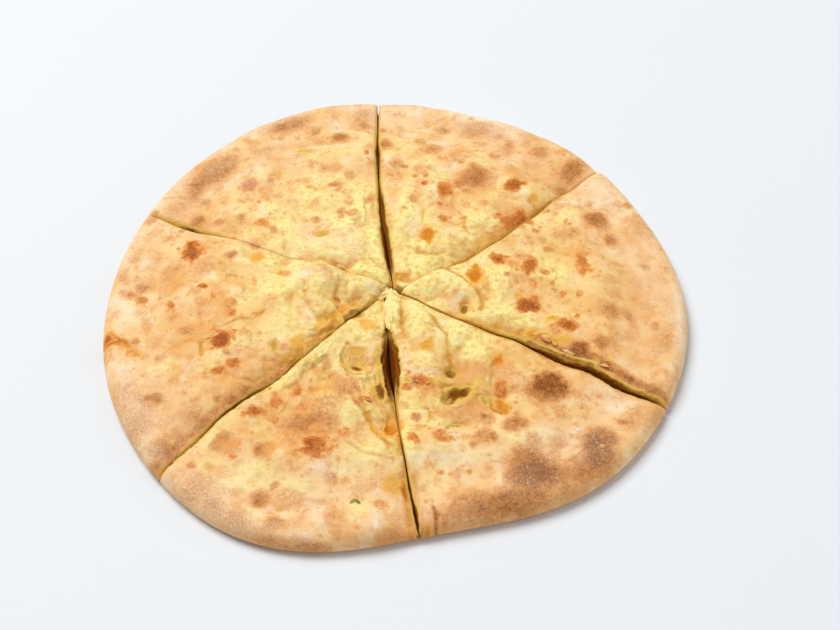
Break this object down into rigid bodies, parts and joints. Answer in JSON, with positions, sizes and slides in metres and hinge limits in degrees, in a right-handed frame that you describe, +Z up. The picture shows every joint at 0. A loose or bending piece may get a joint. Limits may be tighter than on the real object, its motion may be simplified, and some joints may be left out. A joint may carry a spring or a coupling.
{
  "type": "imeruli khachapuri",
  "caption": "Flat round cheese-filled bread, cut into wedge slices that still lie together; the cheese layer shows at the cuts and tips.",
  "frame": {"origin": "middle of the bread's footprint, on the surface it lies on", "axes": "+Z up; +Y towards the back of the bread, +X to its right, as it is seen from the front"},
  "size_m": [0.299, 0.2972, 0.021],
  "materials": {
    "dough": "matte",
    "cheese": "satin"
  },
  "bodies": {
    "root": {"dough_right": "dough", "dough_back_right": "dough", "dough_back_left": "dough", "dough_left": "dough", "dough_front_left": "dough", "dough_front_right": "dough", "cheese_right": "cheese", "cheese_back_right": "cheese", "cheese_back_left": "cheese", "cheese_left": "cheese", "cheese_front_left": "cheese", "cheese_front_right": "cheese"}
  },
  "joints": []
}
